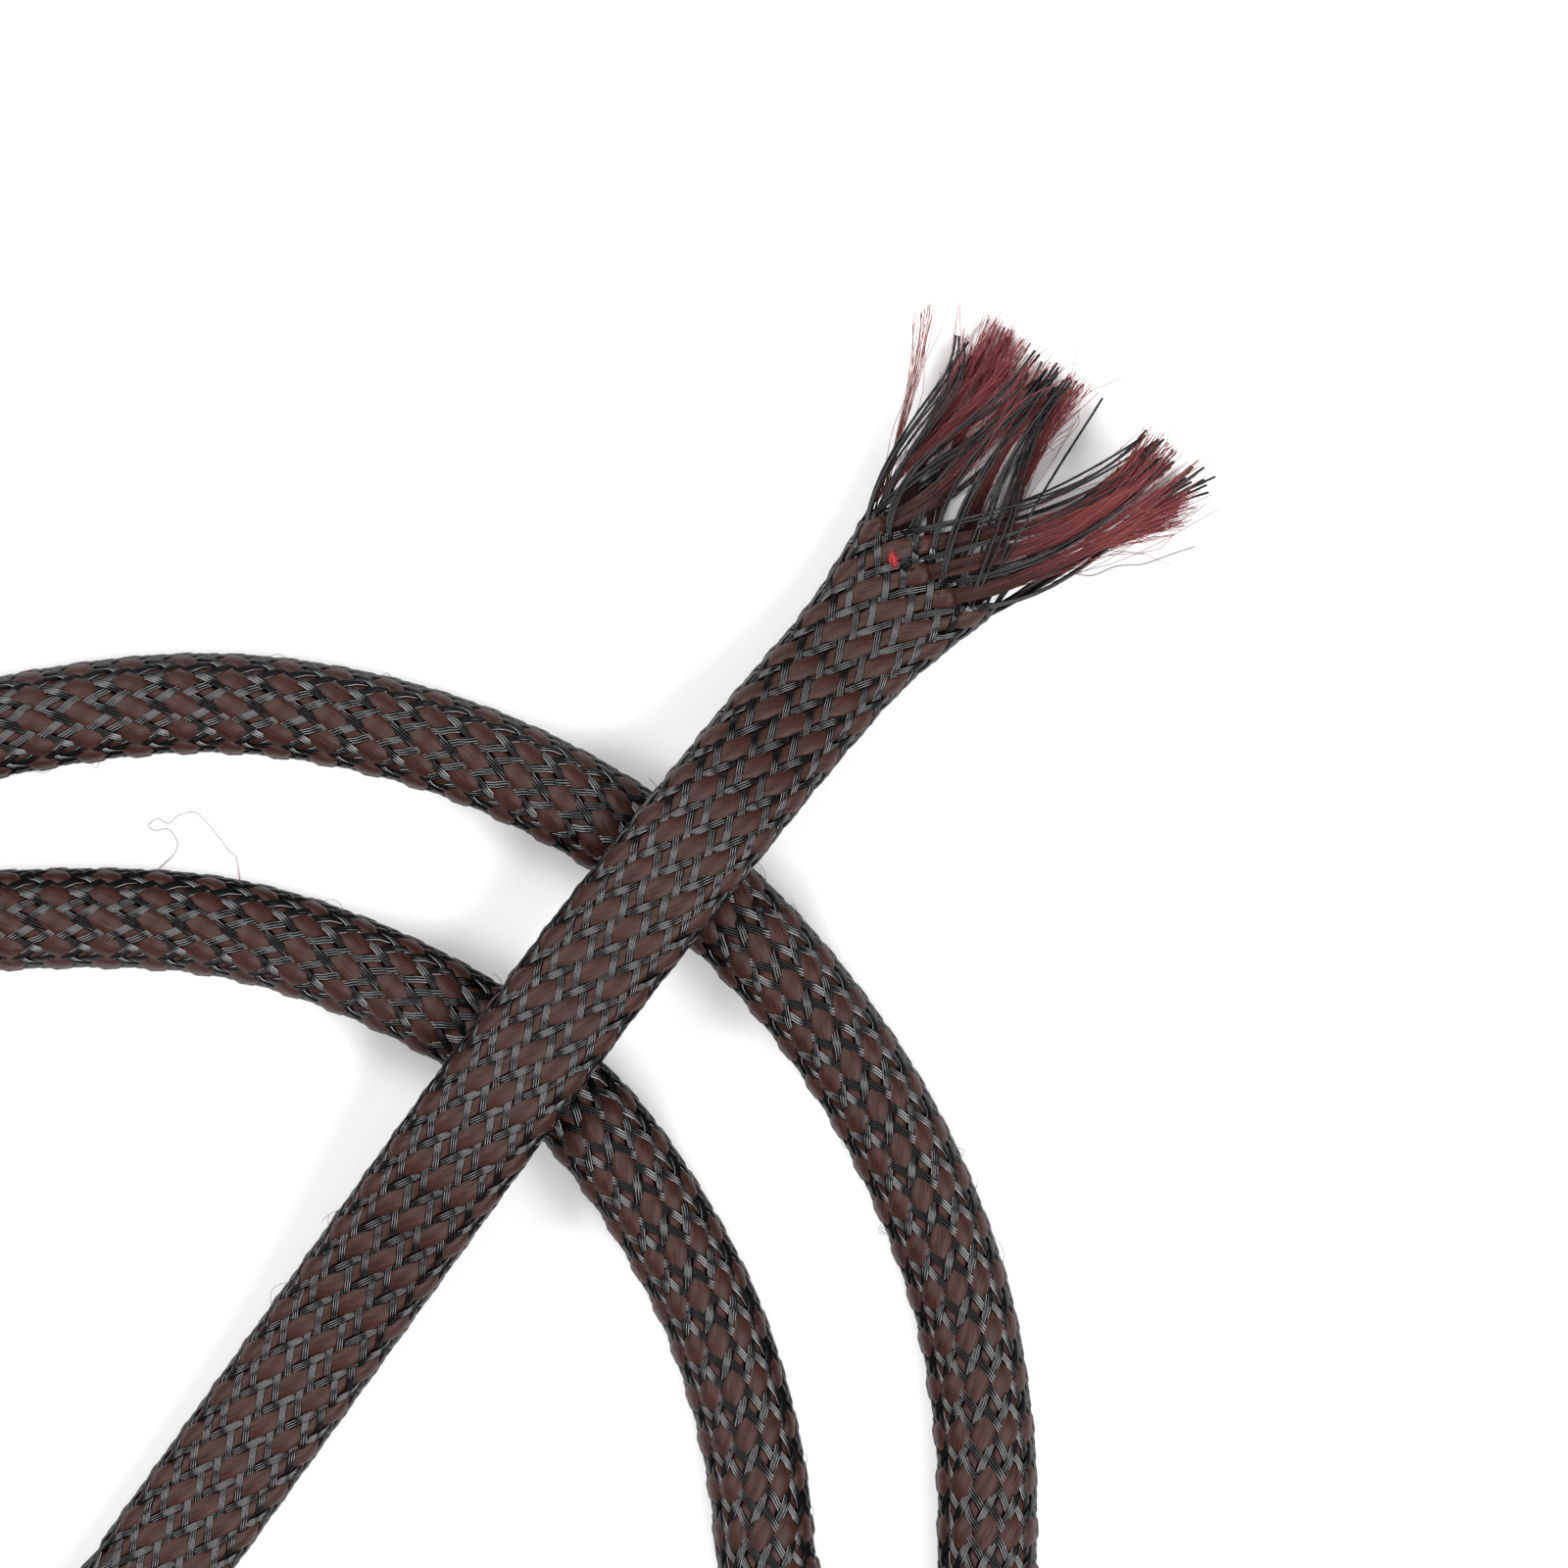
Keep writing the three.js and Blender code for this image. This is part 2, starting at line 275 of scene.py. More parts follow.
def woven_piece(name, strips, sharp):
    """One mesh from many strips with as many corners each: they are skinned ring to ring and
    closed at both ends, and stay sharp along the corners that are listed. The uv map holds the
    distance along the strand and across it, in millimetres."""
    corners = strips[0][0].shape[1]
    places, faces, uvs, base = [], [], [], 0
    for rings, length in strips:
        rows = len(rings)
        places.append(rings.reshape(-1, 3))
        ring, side = np.meshgrid(np.arange(rows - 1), np.arange(corners), indexing="ij")
        here = base + ring * corners
        beside = (side + 1) % corners
        faces.append(np.stack(
            [here + side, here + beside, here + corners + beside, here + corners + side], -1
        ).reshape(-1, 4))
        wide = np.linalg.norm(np.diff(rings[0], axis=0), axis=1)
        at = np.r_[0, np.cumsum(wide)]
        corner_across = np.stack([at[side], np.r_[at, 0][side + 1]], -1)
        corner_across[side == corners - 1] = (at[-1], 0)
        uvs.append(np.stack([
            np.stack([length[ring], length[ring], length[ring + 1], length[ring + 1]], -1),
            np.stack([corner_across[..., 0], corner_across[..., 1],
                      corner_across[..., 1], corner_across[..., 0]], -1),
        ], -1).reshape(-1, 2))
        base += rows * corners
    mesh = bpy.data.meshes.new(name)
    quads = np.vstack(faces)
    mesh.vertices.add(base)
    mesh.vertices.foreach_set("co", (np.vstack(places) * MM).ravel())
    mesh.loops.add(quads.size)
    mesh.loops.foreach_set("vertex_index", quads.ravel())
    mesh.polygons.add(len(quads))
    mesh.polygons.foreach_set("loop_start", np.arange(0, quads.size, 4))
    mesh.update(calc_edges=True)
    uv = mesh.uv_layers.new(name="strand")
    uv.data.foreach_set("uv", np.vstack(uvs).ravel())
    closed = bmesh.new()
    closed.from_mesh(mesh)
    ends = [edge for edge in closed.edges if edge.is_boundary]
    bmesh.ops.holes_fill(closed, edges=ends, sides=corners)
    closed.to_mesh(mesh)
    closed.free()
    mesh.shade_smooth()
    pairs = np.empty(2 * len(mesh.edges), int)
    mesh.edges.foreach_get("vertices", pairs)
    pairs = pairs.reshape(-1, 2)
    begins, ends = pairs[:, 0] % corners, pairs[:, 1] % corners
    kept_sharp = (begins == ends) & np.isin(begins, sharp)
    mesh.attributes.new("sharp_edge", "BOOLEAN", "EDGE").data.foreach_set("value", kept_sharp)
    piece = bpy.data.objects.new(name, mesh)
    bpy.context.scene.collection.objects.link(piece)
    return piece


# The fibre streaks that the materials of the black filaments, the brown ribbons and the red fleck
# share: fine lines along a strand, from its own map of millimetres along and across. Each material
# says how many there are to a millimetre.
streaks = bpy.data.node_groups.new("fibre_streaks", "ShaderNodeTree")
streaks.interface.new_socket("Along", in_out="INPUT", socket_type="NodeSocketFloat")
streaks.interface.new_socket("Across", in_out="INPUT", socket_type="NodeSocketFloat")
streaks.interface.new_socket("Streak", in_out="OUTPUT", socket_type="NodeSocketFloat")
nodes, links = streaks.nodes, streaks.links
given = nodes.new("NodeGroupInput")
result = nodes.new("NodeGroupOutput")
strand_map = nodes.new("ShaderNodeUVMap")
strand_map.uv_map = "strand"
apart = nodes.new("ShaderNodeSeparateXYZ")
links.new(strand_map.outputs["UV"], apart.inputs["Vector"])
joined = nodes.new("ShaderNodeCombineXYZ")
for axis, name in (("X", "Along"), ("Y", "Across")):
    scaled = nodes.new("ShaderNodeMath")
    scaled.operation = "MULTIPLY"
    links.new(apart.outputs[axis], scaled.inputs[0])
    links.new(given.outputs[name], scaled.inputs[1])
    links.new(scaled.outputs["Value"], joined.inputs[axis])
noise = nodes.new("ShaderNodeTexNoise")
noise.inputs["Scale"].default_value = 1.0
noise.inputs["Detail"].default_value = 3.0
links.new(joined.outputs["Vector"], noise.inputs["Vector"])
links.new(noise.outputs["Fac"], result.inputs["Streak"])


def streaked_material(name, along, across, dark, light):
    """A material whose colour follows the streaks, and its streaks node. The dark and the light
    tone are each given with the streak value where it is reached."""
    material = bpy.data.materials.new(name)
    material.use_nodes = True
    nodes, links = material.node_tree.nodes, material.node_tree.links
    fibres = nodes.new("ShaderNodeGroup")
    fibres.node_tree = streaks
    fibres.inputs["Along"].default_value = along
    fibres.inputs["Across"].default_value = across
    tones = nodes.new("ShaderNodeValToRGB")
    for element, (position, colour) in zip(tones.color_ramp.elements, (dark, light)):
        element.position = position
        element.color = (*colour, 1)
    links.new(fibres.outputs["Streak"], tones.inputs["Fac"])
    links.new(tones.outputs["Color"], nodes["Principled BSDF"].inputs["Base Color"])
    return material, fibres


# Each carrier leaves the weave at its own distance from the mouth.
FIRST_WOVEN_END, WOVEN_END_SPREAD = 0.8, 3
chance = np.random.default_rng(7)
WOVEN_END = {
    lay: FIRST_WOVEN_END + WOVEN_END_SPREAD * chance.random(CARRIERS) for lay in ("first", "second")
}

# The black trios: each is three drawn plastic filaments side by side, stiff and glossy, skinned as
# one strip with three ridges. They are three pieces, so that each stays light. Their section is in
# filament widths, and their gloss and tone change a little along them.
FILAMENT_WIDTH = 0.25
TRIO = [(-1.5, -0.4), (-1, 0.45), (-0.5, -0.02), (0, 0.5), (0.5, -0.02), (1, 0.45), (1.5, -0.4)]
TRIO_SHARP_CORNERS = (0, 2, 4, 6)
TRIO_IN_TURNS = 1.13
PLASTIC_IOR, LOOSE_PLASTIC_IOR = 1.54, 1.38
WOVEN_GLOSS, LOOSE_GLOSS = (0.13, 0.22), (0.25, 0.34)
STREAK_LOW, STREAK_HIGH = 0.35, 0.65
DARK_BLACK, LIGHT_BLACK = (0.001, 0.001, 0.0011), (0.003, 0.003, 0.0033)
trio_section = [(x * FILAMENT_WIDTH, z * FILAMENT_WIDTH) for x, z in TRIO]

black_filament, fibres = streaked_material(
    "black_filament", 0.7, 5.0, (STREAK_LOW, DARK_BLACK), (STREAK_HIGH, LIGHT_BLACK)
)
nodes, links = black_filament.node_tree.nodes, black_filament.node_tree.links
shader = nodes["Principled BSDF"]
shader.inputs["IOR"].default_value = PLASTIC_IOR
gloss = nodes.new("ShaderNodeMapRange")
gloss.name = "gloss"
gloss.inputs["From Min"].default_value = STREAK_LOW
gloss.inputs["From Max"].default_value = STREAK_HIGH
gloss.inputs["To Min"].default_value = WOVEN_GLOSS[0]
gloss.inputs["To Max"].default_value = WOVEN_GLOSS[1]
links.new(fibres.outputs["Streak"], gloss.inputs["Value"])
links.new(gloss.outputs["Result"], shader.inputs["Roughness"])

for name, kind, orders in (
    ("black_trios_first_lay_wide", "first", range(0, CARRIERS, 2)),
    ("black_trios_first_lay_close", "first", range(1, CARRIERS, 2)),
    ("black_trios_second_lay", "second", range(0, CARRIERS, 2)),
):
    strips = [strip(kind, order, trio_section, TRIO_IN_TURNS) for order in orders]
    piece = woven_piece(name, strips, TRIO_SHARP_CORNERS)
    piece.data.materials.append(black_filament)
    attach(piece, "root")

# The brown ribbons: flat bundles of fine soft yarn, which plump up where they lie over the black
# trios. Each is skinned as one flat strip. Its streaks give the fibres' colour and relief.
RIBBON_HALF = 0.94
RIBBON = [(-1, -0.13), (-0.86, 0.02), (-0.35, 0.12), (0.35, 0.12), (0.86, 0.02), (1, -0.13)]
RIBBON_EDGES = (0, 5)
RIBBON_IN_TURNS, RIBBON_SWELL, RIBBON_LEAN = 0.95, 0.12, 0.18
YARN_ROUGHNESS, YARN_SPECULAR = 0.5, 0.25
YARN_RELIEF, YARN_RELIEF_DEPTH = 0.6, 0.06 * MM
DARK_BROWN, LIGHT_BROWN = (0.011, 0.0034, 0.0025), (0.052, 0.0155, 0.0105)
ribbon_section = [(x * RIBBON_HALF, z) for x, z in RIBBON]

brown_yarn, fibres = streaked_material(
    "brown_yarn", 0.5, 9.0, (0.3, DARK_BROWN), (0.72, LIGHT_BROWN)
)
nodes, links = brown_yarn.node_tree.nodes, brown_yarn.node_tree.links
shader = nodes["Principled BSDF"]
shader.inputs["Roughness"].default_value = YARN_ROUGHNESS
shader.inputs["Specular IOR Level"].default_value = YARN_SPECULAR
relief = nodes.new("ShaderNodeBump")
relief.inputs["Strength"].default_value = YARN_RELIEF
relief.inputs["Distance"].default_value = YARN_RELIEF_DEPTH
links.new(fibres.outputs["Streak"], relief.inputs["Height"])
links.new(relief.outputs["Normal"], shader.inputs["Normal"])

strips = [
    strip("second", order, ribbon_section, RIBBON_IN_TURNS, RIBBON_SWELL, RIBBON_LEAN)
    for order in range(1, CARRIERS, 2)
]
ribbons = woven_piece("brown_ribbons", strips, RIBBON_EDGES)
ribbons.data.materials.append(brown_yarn)
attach(ribbons, "root")
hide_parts("braided_sleeve")

# The fray: past the mouth the carriers come apart. Places are from the middle of the mouth: ahead
# of it, to its left and up from the floor. No strand reaches past the loose end, and the gap
# between the tufts starts at its edge.
MOUTH = np.array([ROUTE[0][0] - LAY_CENTRE[0], ROUTE[0][1] - LAY_CENTRE[1], 0])
LOOSE_END, LOWEST_TIP = 22.3, 0.3
GAP_EDGE = -6
NEAR_THE_MOUTH, STARTS_INSIDE = 60, 0.4
# A loose strand wavers this many times on its way.
WAVERS = (0.6, 1.6)


def free_start(kind, order, offset):
    """Where a carrier leaves the weave, and the way it then goes, beside its middle line."""
    distance, share, rise = lay_line(kind, order, WOVEN_END[kind][order], NEAR_THE_MOUTH)
    way_round = way_round_at(distance)
    ends = on_sleeve(distance[-3:], share[-3:] + offset / way_round[-3:], rise[-3:]) - MOUTH
    way = ends[2] - ends[0]
    return ends[1], way / np.linalg.norm(way)


def free_path(start, way, waist, tip, steps, stiffness):
    """A smooth path from the weave to a tip, drawn towards the waist of its tuft on the way. The
    stiffer the strand is, the longer it keeps the way in which it leaves."""
    share = np.linspace(0, 1, steps + 1)[:, None]
    leaving = start + way * np.linalg.norm(waist - start) * stiffness
    weights = ((1 - share)**3, 3 * share * (1 - share)**2, 3 * share**2 * (1 - share), share**3)
    return sum(weight * bend for weight, bend in zip(weights, (start, leaving, waist, tip)))


def thread(path, radius, sides):
    """Rings of a round thread along a path given from the middle of the mouth."""
    way = np.gradient(path, axis=0)
    way /= np.linalg.norm(way, axis=1)[:, None]
    side = np.cross((0, 0, 1), way)
    side /= np.linalg.norm(side, axis=1)[:, None]
    above = np.cross(way, side)
    turn = 2 * np.pi * np.arange(sides) / sides
    rings = (path + MOUTH)[:, None] + radius * (
        np.cos(turn)[None, :, None] * side[:, None] + np.sin(turn)[None, :, None] * above[:, None]
    )
    length = np.r_[0, np.cumsum(np.linalg.norm(np.diff(path, axis=0), axis=1))]
    return rings, length


def curl(steps, size):
    """A gentle random waver that grows towards the free end."""
    share = np.linspace(0, 1, steps + 1)[:, None]
    turns = chance.uniform(*WAVERS, 3)
    starts = chance.uniform(0, 2 * np.pi, 3)
    return size * share**1.5 * (np.sin(2 * np.pi * turns * share + starts) - np.sin(starts))


# The loose black filaments: three from each carrier, stiff, so each runs nearly straight on and
# ends in a clean cut. Most bend into the left or the right tuft, and some of them cross the gap
# between the tufts on their way. One stands alone in the gap. They shine less than woven ones.
FILAMENT_STEPS, FILAMENT_SIDES = 14, 6
FILAMENT_STIFFNESS, FILAMENT_CURL = 0.6, 0.2
FILAMENT_REACH, SHORTER_BY, SHORT_ONES_LEFT = 20.8, 3.5, 8.5
# The tips keep a share of the height at which their carrier leaves, above a least height.
TIP_LEAST, TIP_KEEPS, HIGHEST_TIP = 1.0, 0.72, 8.3
SHARED_SCATTER = 0.5
TIP_SCATTER, WAIST_SCATTER = (0.9, 0.4, 0.4), (1.0, 0.6, 0.3)
# How far left the tips come, by how far left their carrier leaves the mouth: those of carriers
# going left, and then those of carriers going right.
LEFT_GOING = ([-9, -7.2, -7, -4, 0, 5, 6, 9], [-12, -10.3, -0.6, 0.2, 1.4, 3.6, 9.4, 10.6])
RIGHT_GOING = ([-9, -6, 0, 6, 6.2, 9], [-17.4, -16.8, -12.8, -9.9, 0.8, 2.6])
# Where the tufts' waists are: how far ahead, and how far left by how far left the tip comes.
LEFT_WAIST_AHEAD, LEFT_WAIST_SHIFT, LEFT_WAIST_SHARE = 13, 0.2, 0.8
CROSSING_WAIST_LEFT = -7.5
RIGHT_WAIST_AHEAD, RIGHT_WAIST_LEFT = 14.2, ((-17.4, -12.6, -9.9), (-14.2, -11.6, -8.2))
LONE_CARRIER, LONE_WAIST, LONE_TIP = 3, (15.5, -5.6, 6), (21.9, -4.3, 5)

free_filament = black_filament.copy()
free_filament.name = "free_filament"
nodes = free_filament.node_tree.nodes
nodes["Principled BSDF"].inputs["IOR"].default_value = LOOSE_PLASTIC_IOR
nodes["gloss"].inputs["To Min"].default_value = LOOSE_GLOSS[0]
nodes["gloss"].inputs["To Max"].default_value = LOOSE_GLOSS[1]

threads = []
for kind, orders in (("first", range(CARRIERS)), ("second", range(0, CARRIERS, 2))):
    for order in orders:
        start, way = free_start(kind, order, 0)
        going = LEFT_GOING if way[1] > 0 else RIGHT_GOING
        tip_left = np.interp(start[1], *going)
        shared = chance.normal(0, SHARED_SCATTER, 3)
        for filament in (-1, 0, 1):
            start, way = free_start(kind, order, filament * FILAMENT_WIDTH)
            tip = np.array([FILAMENT_REACH, tip_left, TIP_LEAST + TIP_KEEPS * start[2]]) + shared
            tip += chance.normal(0, TIP_SCATTER)
            tip[0] = min(tip[0], LOOSE_END) - (SHORTER_BY if tip_left > SHORT_ONES_LEFT else 0)
            tip[2] = np.clip(tip[2], LOWEST_TIP, HIGHEST_TIP)
            halfway_up = 0.5 * (start[2] + tip[2])
            if tip_left > GAP_EDGE:
                waist_left = LEFT_WAIST_SHIFT + LEFT_WAIST_SHARE * tip_left
                waist = np.array([LEFT_WAIST_AHEAD, waist_left, halfway_up])
            elif way[1] > 0:
                waist = np.array([LEFT_WAIST_AHEAD, CROSSING_WAIST_LEFT, halfway_up])
            else:
                waist_left = np.interp(tip_left, *RIGHT_WAIST_LEFT)
                waist = np.array([RIGHT_WAIST_AHEAD, waist_left, halfway_up])
            if (kind, order, filament) == ("first", LONE_CARRIER, 1):
                waist, tip = np.array(LONE_WAIST), np.array(LONE_TIP)
            waist += chance.normal(0, WAIST_SCATTER)
            begin = start - STARTS_INSIDE * way
            path = free_path(begin, way, waist, tip, FILAMENT_STEPS, FILAMENT_STIFFNESS)
            path += curl(FILAMENT_STEPS, FILAMENT_CURL)
            path[:, 2] = np.maximum(path[:, 2], FILAMENT_WIDTH)
            threads.append(thread(path, FILAMENT_WIDTH / 2, FILAMENT_SIDES))
loose_filaments = woven_piece("loose_black_filaments", threads, ())
loose_filaments.data.materials.append(free_filament)
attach(loose_filaments, "root")

# The loose yarn of the fray: each ribbon stays flat at first, and then opens into locks of fine
# fibres that brush out towards their cut. The yarn reddens on the way, and each fibre does so a
# little sooner or later. Short hairs of it stand off the weave, and two long ones lie on the floor.
FIBRE_STEPS, FIBRE_SIDES, FIBRE_RADIUS = 11, 3, 0.038
FIBRE_STIFFNESS, FIBRE_CURL, STRAY_FIBRE_CURL = 0.5, 0.3, 1.8
LOCKS, LOCK_FIBRES = 17, 8
# How far the locks, their fibres and the fibres' waists scatter, and how thick a ribbon is there.
LOCK_REACH_SCATTER = 1.9
FIBRE_TIP_SCATTER, FIBRE_WAIST_SCATTER, FIBRE_PLACE_SCATTER = (0.8, 0.3, 0.25), 0.12, 0.12
HALF_THICKNESS = 0.09
LOWEST_FIBRE = 0.12
# For each ribbon's carrier, its tip, ahead of the mouth and to its left, and its brush's spread.
YARN_TIPS = {
    1: (19.8, -11.0, 0.6), 3: (19.2, 3.0, 0.6), 5: (20.0, 5.4, 0.8), 7: (17.6, 9.0, 0.8),
    9: (19.8, 9.2, 0.5), 11: (21.4, 7.3, 0.5), 13: (19.0, 1.2, 0.5), 15: (21.8, -1.9, 0.7),
    17: (17.0, -17.4, 0.5), 19: (18.4, -16.0, 0.8), 21: (19.4, -12.4, 0.9),
}
# Where the tufts draw together, ahead of the mouth and to its left. In the left tuft that depends
# on the tip. Tips and waists keep a share of the height at which the ribbon leaves.
MIDDLE_WAIST, RIGHT_WAIST = (13, -0.9), (10, -12.0)
YARN_WAIST_AHEAD, YARN_WAIST_SHIFT, YARN_WAIST_SHARE = 12, 0.2, 0.72
YARN_TIP_LEAST, YARN_TIP_KEEPS = 1.2, 0.66
YARN_WAIST_LEAST, YARN_WAIST_KEEPS = 1.1, 0.82
# How much of a ribbon's width, of its place at the mouth and of its order in the brush remain.
WIDTH_AT_WAIST, PLACE_AT_WAIST, ORDER_AT_TIP = 0.3, 0.04, 0.5
BRUSH_FLATNESS = 0.7
# A few locks of one ribbon stand apart on the far left, as a thin wisp.
WISP_CARRIER, WISP_LOCKS = 7, 3
WISP_TIP, WISP_WAIST = (19.2, 15.6, 3.5), (10, 10.6, 4.0)
WISP_LOCK_SCATTER, WISP_NARROWNESS = (1.0, 0.16, 0.16), 0.4
# The reddening, by the distance along a fibre, and how much sooner or later it may come.
BROWN_UNTIL, RED_FROM, RED_SCATTER = 7, 19.5, 2.4
ROOT_BROWN, TIP_RED = (0.032, 0.0095, 0.0075, 1), (0.27, 0.062, 0.065, 1)

loose_yarn = bpy.data.materials.new("loose_yarn")
loose_yarn.use_nodes = True
nodes, links = loose_yarn.node_tree.nodes, loose_yarn.node_tree.links
shader = nodes["Principled BSDF"]
shader.inputs["Roughness"].default_value = YARN_ROUGHNESS
shader.inputs["Specular IOR Level"].default_value = YARN_SPECULAR
strand_map = nodes.new("ShaderNodeUVMap")
strand_map.uv_map = "strand"
apart = nodes.new("ShaderNodeSeparateXYZ")
opened = nodes.new("ShaderNodeMapRange")
opened.inputs["From Min"].default_value = BROWN_UNTIL
opened.inputs["From Max"].default_value = RED_FROM
reds = nodes.new("ShaderNodeValToRGB")
reds.color_ramp.elements[0].color = ROOT_BROWN
reds.color_ramp.elements[1].color = TIP_RED
links.new(strand_map.outputs["UV"], apart.inputs["Vector"])
links.new(apart.outputs["X"], opened.inputs["Value"])
links.new(opened.outputs["Result"], reds.inputs["Fac"])
links.new(reds.outputs["Color"], shader.inputs["Base Color"])

tone_chance = np.random.default_rng(5)
threads = []
for order, (ahead_by, left_by, spread) in YARN_TIPS.items():
    left_waist = (YARN_WAIST_AHEAD, YARN_WAIST_SHARE * left_by + YARN_WAIST_SHIFT)
    drawn_to = left_waist if left_by > 0 else MIDDLE_WAIST if left_by > GAP_EDGE else RIGHT_WAIST
    for lock in range(LOCKS):
        offset = chance.uniform(-1, 1)
        out = chance.normal(0, 1, 3)
        in_wisp = order == WISP_CARRIER and lock < WISP_LOCKS
        for fibre in range(LOCK_FIBRES):
            place = offset + chance.normal(0, FIBRE_PLACE_SCATTER)
            start, way = free_start("second", order, np.clip(place, -1, 1) * RIBBON_HALF)
            start = start + (0, 0, chance.uniform(-HALF_THICKNESS, HALF_THICKNESS))
            scatter = chance.normal(0, FIBRE_TIP_SCATTER)
            if in_wisp:
                tip = np.array(WISP_TIP) + out * WISP_LOCK_SCATTER
                waist = np.array(WISP_WAIST)
                scatter *= WISP_NARROWNESS
            else:
                tip = np.array([ahead_by, left_by, YARN_TIP_LEAST + YARN_TIP_KEEPS * start[2]])
                tip += out * (LOCK_REACH_SCATTER, spread, BRUSH_FLATNESS * spread)
                tip[1] += ORDER_AT_TIP * offset * spread
                waist = np.array([*drawn_to, YARN_WAIST_LEAST + YARN_WAIST_KEEPS * start[2]])
                waist[1] += WIDTH_AT_WAIST * place * way[0] + PLACE_AT_WAIST * start[1]
            tip += scatter
            waist += chance.normal(0, FIBRE_WAIST_SCATTER, 3)
            tip[0] = min(tip[0], LOOSE_END)
            tip[2] = max(tip[2], LOWEST_TIP)
            begin = start - STARTS_INSIDE * way
            path = free_path(begin, way, waist, tip, FIBRE_STEPS, FIBRE_STIFFNESS)
            strays = fibre == 0 and lock % 2 == 0
            path += curl(FIBRE_STEPS, STRAY_FIBRE_CURL if strays else FIBRE_CURL)
            path[:, 2] = np.maximum(path[:, 2], LOWEST_FIBRE)
            rings, length = thread(path, FIBRE_RADIUS, FIBRE_SIDES)
            threads.append((rings, length + tone_chance.normal(0, RED_SCATTER)))

# Stray hairs: short loops and ends of yarn on both sides of the sleeve. They are placed by the
# share of the way round it, and one in three ends in the air.
HAIRS, HAIR_RADIUS = 150, 0.028
HAIR_SIDES, HAIR_STANDS_OFF, HAIR_LENGTHS = (0.1, 0.3), (0.3, 1.1), (1, 4)
HAIR_SLANT, HAIR_ROOT = 0.05, 0.1
FIRST_HAIR, LAST_HAIR = 3, ROUTE_LENGTH - 6
ENDS_IN_THE_AIR, LOOPS_BACK = 0.55, 1
for _ in range(HAIRS):
    reach = np.linspace(0, 1, FIBRE_STEPS + 1)
    begins = chance.uniform(FIRST_HAIR, LAST_HAIR)
    side = chance.choice((-1, 1)) * chance.uniform(*HAIR_SIDES)
    stands_off = chance.uniform(*HAIR_STANDS_OFF)
    rises = np.sin(np.pi * reach * chance.choice((ENDS_IN_THE_AIR, LOOPS_BACK, LOOPS_BACK)))
    hair_path = on_sleeve(
        begins + chance.uniform(*HAIR_LENGTHS) * reach,
        side + chance.uniform(-HAIR_SLANT, HAIR_SLANT) * reach,
        HAIR_ROOT + stands_off * rises,
    )
    threads.append(thread(hair_path - MOUTH, HAIR_RADIUS, FIBRE_SIDES))

# The two long hairs on the floor, as places in the picture, in millimetres rightwards and down
# from its upper left corner.
FLOOR_HAIR_RADIUS, FLOOR_HAIR_RISE = 0.04, 0.05
FLOOR_HAIRS = (
    ((15.8, 89), (18, 87), (18.2, 85.8), (17.2, 84.4), (15.9, 84.8), (14.9, 84.3), (16.1, 83.4),
     (17.2, 84.2), (18.2, 83.1), (20, 82.7), (21.8, 84.7), (23.4, 86.9), (24.1, 87.3),
     (24.5, 90)),
    ((107.5, 57.6), (109.4, 58.5), (111.4, 58.9), (114, 57.7), (116.6, 57.7), (119.5, 56.6),
     (122, 55.8)),
)
STEPS_PER_CORNER, ROUNDS_OF_SMOOTHING = 5, 3
soft = np.array([0.25, 0.5, 0.25])
for places in FLOOR_HAIRS:
    corners = (np.array(places) - VIEW_WIDTH / MM / 2) * (1, -1)
    reach = np.linspace(0, len(corners) - 1, STEPS_PER_CORNER * len(corners))
    across, up = (np.interp(reach, range(len(corners)), corners[:, k]) for k in (0, 1))
    for _ in range(ROUNDS_OF_SMOOTHING):
        across[1:-1], up[1:-1] = (np.convolve(way, soft, "valid") for way in (across, up))
    hair_path = np.column_stack([
        VIEW_CENTRE[0] / MM + across * math.cos(RUN_ANGLE) + up * math.sin(RUN_ANGLE),
        VIEW_CENTRE[1] / MM - across * math.sin(RUN_ANGLE) + up * math.cos(RUN_ANGLE),
        np.full(len(reach), FLOOR_HAIR_RISE),
    ])
    threads.append(thread(hair_path - MOUTH, FLOOR_HAIR_RADIUS, FIBRE_SIDES))
loose_fibres = woven_piece("loose_brown_fibres", threads, ())
loose_fibres.data.materials.append(loose_yarn)
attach(loose_fibres, "root")

# The fleck: a few bright red fibres, caught in the weave just behind the mouth. Its place is how
# far behind the mouth it is and how far left of the top, and how far it stands proud.
FLECK_AT, FLECK_LEFT, FLECK_LENGTH, FLECK_RISE = 4.6, 3.1, 1.1, 0.33
FLECK_FIBRES, FLECK_GAP, FLECK_SLANT = 14, 0.07, 0.9
FLECK_STEPS, FLECK_RADIUS, MIDDLE_FIBRE = 4, 0.06, 8
FLECK_LENGTHS, FLECK_SCATTER = (0.5, 1), 0.3
DARK_RED, BRIGHT_RED = (0.24, 0.003, 0.004), (0.46, 0.01, 0.012)

fleck_red, _ = streaked_material(
    "fleck_red", 2.0, 9.0, (STREAK_LOW, DARK_RED), (STREAK_HIGH, BRIGHT_RED)
)
fleck_red.node_tree.nodes["Principled BSDF"].inputs["Roughness"].default_value = YARN_ROUGHNESS

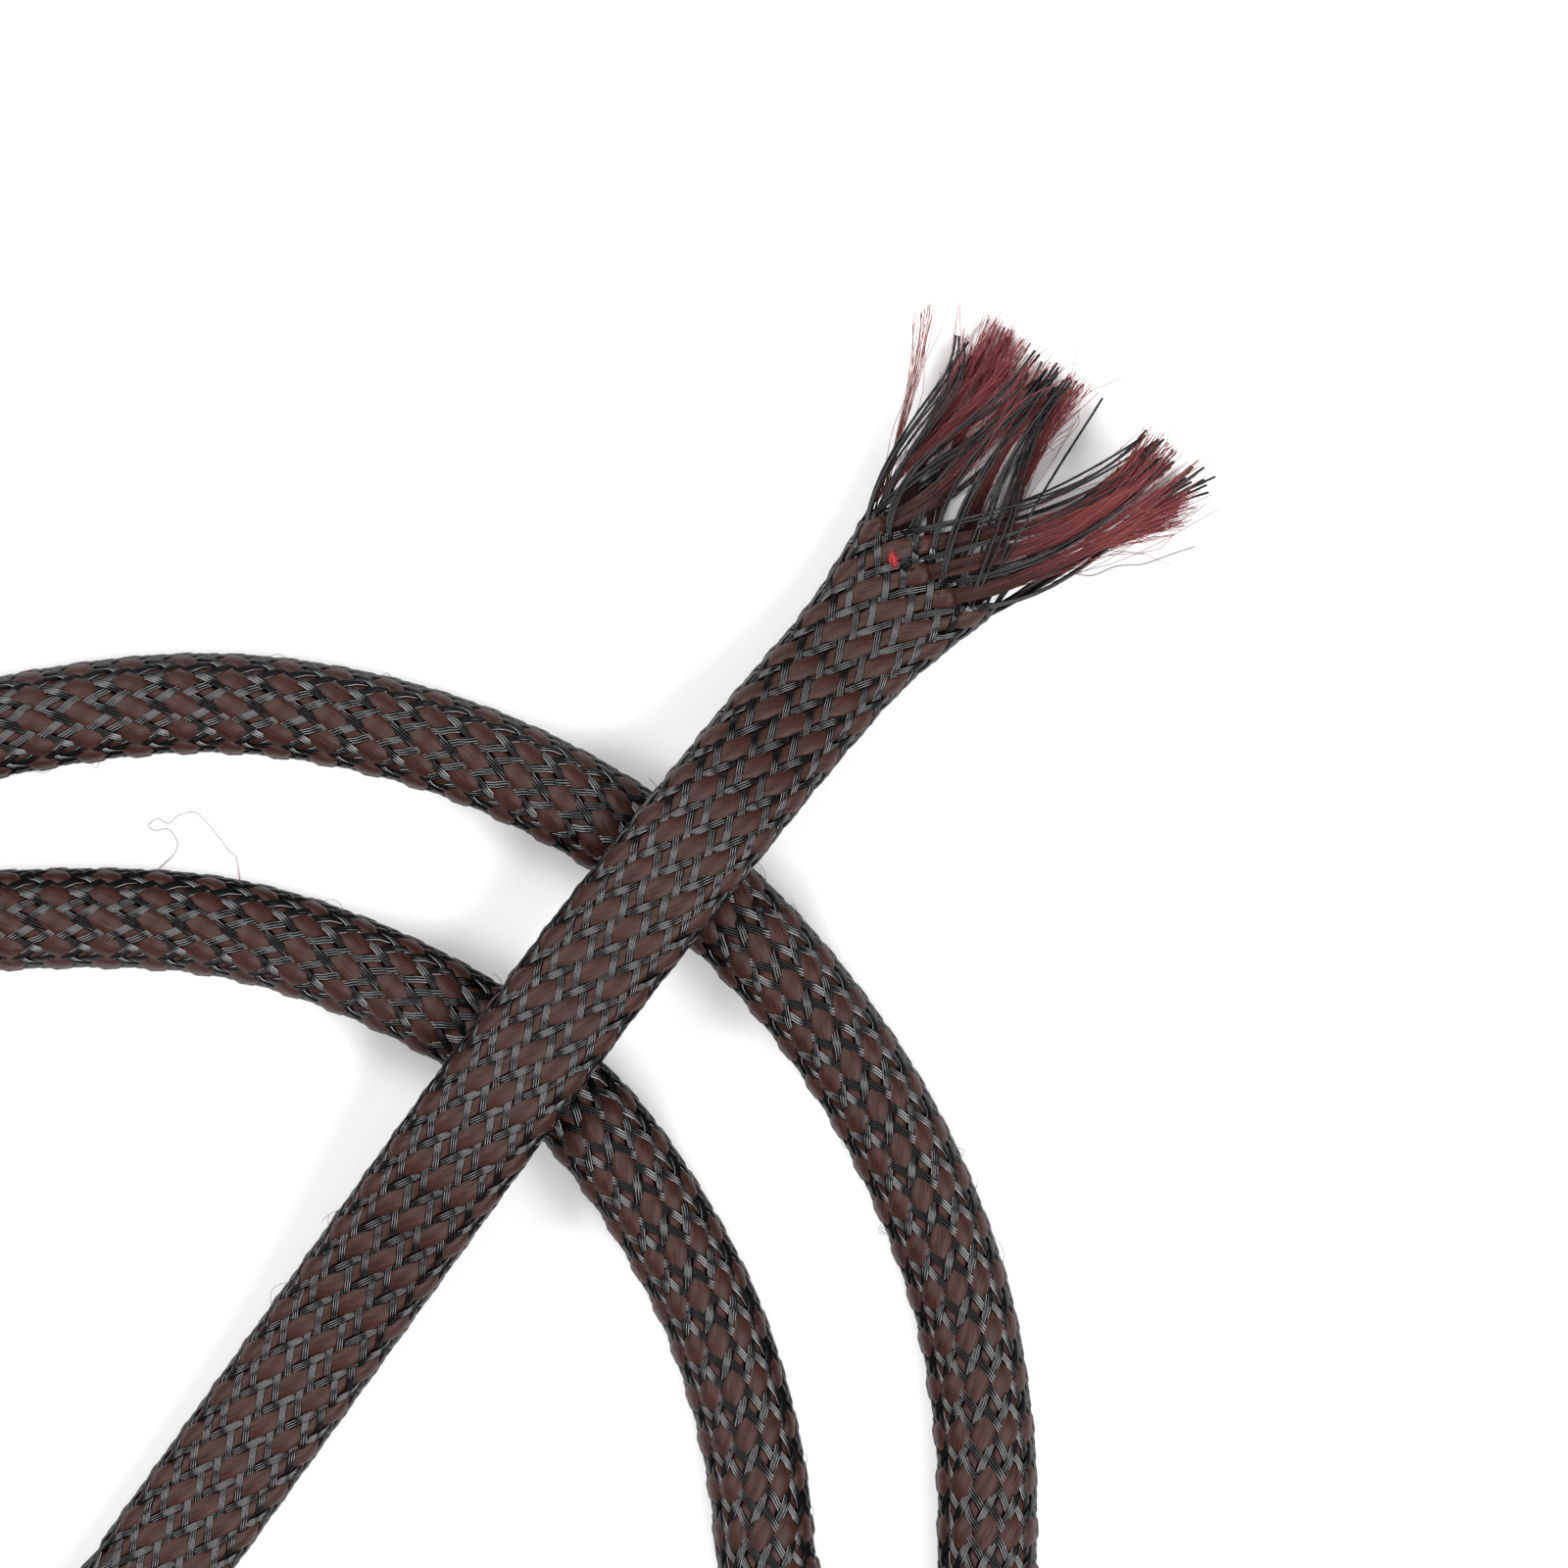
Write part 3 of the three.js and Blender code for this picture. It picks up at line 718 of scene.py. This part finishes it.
threads = []
way_round = float(np.interp(FLECK_AT, station, ways_round))
for fibre in range(FLECK_FIBRES):
    reach = np.linspace(-0.5, 0.5, FLECK_STEPS + 1) * chance.uniform(*FLECK_LENGTHS)
    begins = FLECK_AT + FLECK_LENGTH * reach + chance.uniform(-FLECK_SCATTER, FLECK_SCATTER)
    left_by = FLECK_LEFT - FLECK_SLANT * reach + FLECK_GAP * (fibre - MIDDLE_FIBRE)
    fibre_path = on_sleeve(begins, left_by / way_round, np.full(len(reach), FLECK_RISE))
    threads.append(thread(fibre_path - MOUTH, FLECK_RADIUS, FIBRE_SIDES))
fleck = woven_piece("red_fleck", threads, ())
fleck.data.materials.append(fleck_red)
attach(fleck, "root")

# The floor: a plain pale table, just under the lowest strands. These sizes are in metres.
FLOOR_SIZE, FLOOR_DROP = 6, 0.0001
bpy.ops.mesh.primitive_plane_add(size=FLOOR_SIZE, location=(0, 0, -FLOOR_DROP))
floor = bpy.context.object
floor.name = "floor"
floor_paint = bpy.data.materials.new("floor_paint")
floor_paint.use_nodes = True
shader = floor_paint.node_tree.nodes["Principled BSDF"]
shader.inputs["Base Color"].default_value = (0.9, 0.9, 0.9, 1)
shader.inputs["Roughness"].default_value = 0.9
floor.data.materials.append(floor_paint)

# The light: soft lamps around the view, square to the strands of the straight run, and a weak one
# straight above that fills the shadows between the tufts. Each lamp around has its direction in
# the picture, anticlockwise from the right, and its power in watts. Sizes are in metres.
LAMPS_AROUND = ((-62, 8.8), (-5, 8.3), (118, 6.9), (176, 7.4))
LAMP_OUT, LAMP_HEIGHT, LAMP_SIZE = 0.75, 0.85, 0.5
LAMP_TILT = math.radians(41.4)
TOP_HEIGHT, TOP_SIZE, TOP_POWER = 1.1, 0.45, 1.5
WORLD_STRENGTH = 0.1

world = bpy.data.worlds.new("studio")
world.use_nodes = True
world.node_tree.nodes["Background"].inputs["Color"].default_value = (1, 1, 1, 1)
world.node_tree.nodes["Background"].inputs["Strength"].default_value = WORLD_STRENGTH
bpy.context.scene.world = world
for picture_angle, power in LAMPS_AROUND:
    around = math.radians(picture_angle) - RUN_ANGLE
    bpy.ops.object.light_add(
        type="AREA",
        location=(LAMP_OUT * math.cos(around), LAMP_OUT * math.sin(around), LAMP_HEIGHT),
        rotation=(0, LAMP_TILT, around),
    )
    lamp = bpy.context.object
    lamp.data.size = LAMP_SIZE
    lamp.data.energy = power
bpy.ops.object.light_add(type="AREA", location=(*VIEW_CENTRE, TOP_HEIGHT))
lamp = bpy.context.object
lamp.data.size = TOP_SIZE
lamp.data.energy = TOP_POWER
bpy.context.scene.view_settings.view_transform = "Standard"
